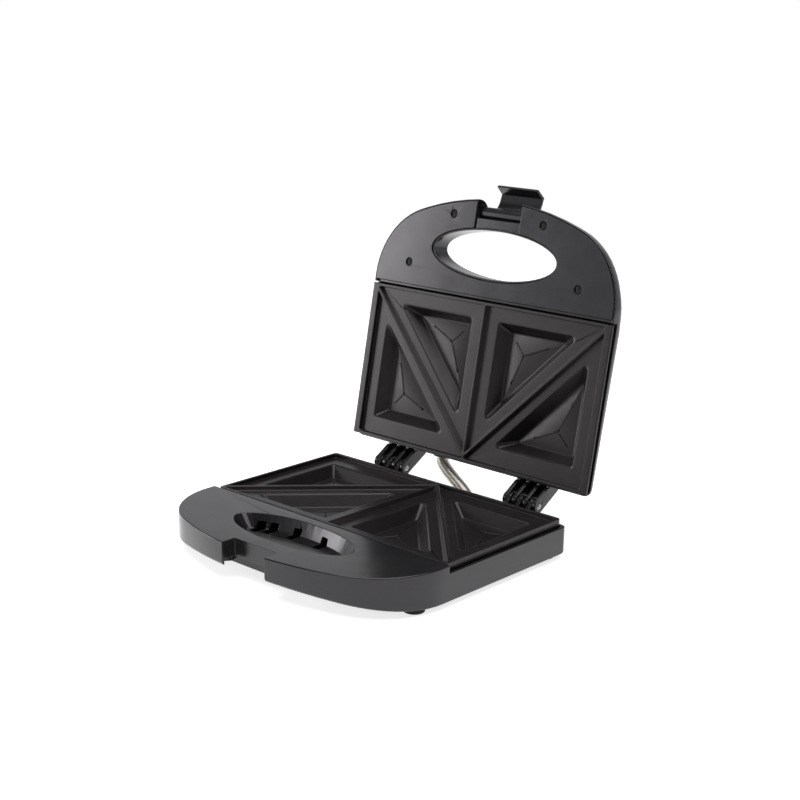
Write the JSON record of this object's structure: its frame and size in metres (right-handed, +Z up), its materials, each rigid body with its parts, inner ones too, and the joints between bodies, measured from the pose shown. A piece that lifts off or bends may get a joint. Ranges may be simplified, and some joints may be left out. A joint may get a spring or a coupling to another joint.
{
  "type": "sandwich toaster",
  "caption": "Open hinged sandwich toaster: base and lid with ridged plates for triangular pockets, loop handle and swinging latch.",
  "frame": {"origin": "on the worktop, midway between the four feet", "axes": "+Z up; +Y from the handle towards the hinges; +X to the right as seen from the handle"},
  "size_m": [0.228, 0.2817, 0.2392],
  "materials": {
    "casing": "polished, faint texture",
    "casing_matt": "fine texture",
    "foot_rubber": "matt",
    "nonstick": "satin non-stick coating on cast aluminium",
    "element_sheath": "satin, heat tinted",
    "spring_steel": "satin",
    "bright_sheet": "mill finish",
    "steel": "zinc plated",
    "screw_steel": "blackened",
    "fuse_body": "satin",
    "block_plastic": "matt",
    "brass": "machined",
    "conduit_steel": "bright drawn",
    "wire_sleeve": "woven sleeve",
    "phenolic": "moulded",
    "lens_red": "polished, translucent",
    "lens_green": "polished, translucent",
    "neon_glass": "clear"
  },
  "bodies": {
    "base": {"base_shell": "casing", "bottom_cover": "casing_matt", "bottom_screws": "steel", "feet": "foot_rubber", "lower_plate": "nonstick", "lower_element": "element_sheath", "lower_clamps": "spring_steel", "lower_reflector": "bright_sheet", "lower_plate_screws": "steel", "thermal_fuse": "fuse_body", "fuse_clip": "spring_steel", "terminal_block": "block_plastic", "terminal_inserts": "brass", "cord_inlet": "foot_rubber", "hinge_pins": "steel", "conduit_spring": "conduit_steel", "conduit_wires": "wire_sleeve"},
    "lid": {"lid_shell": "casing", "handle_cover": "casing", "handle_cover_screws": "screw_steel", "upper_plate": "nonstick", "upper_element": "element_sheath", "upper_clamps": "spring_steel", "upper_reflector": "bright_sheet", "upper_plate_screws": "steel", "thermostat": "phenolic", "power_lens": "lens_red", "ready_lens": "lens_green", "neon_lamps": "neon_glass", "lamp_holder": "block_plastic", "latch_pin": "steel"},
    "latch": {"latch": "casing"}
  },
  "joints": [
    {"name": "lid_hinge", "type": "hinge", "parent": "base", "child": "lid", "pos_m": [0, 0.09, 0.025], "axis": [1, 0, 0], "range_deg": [0, 101], "deforming": ["conduit_spring", "conduit_wires"]},
    {"name": "latch_pivot", "type": "hinge", "parent": "lid", "child": "latch", "pos_m": [0, 0.14004, 0.21953], "axis": [1, 0, 0], "range_deg": [0, 125]}
  ]
}
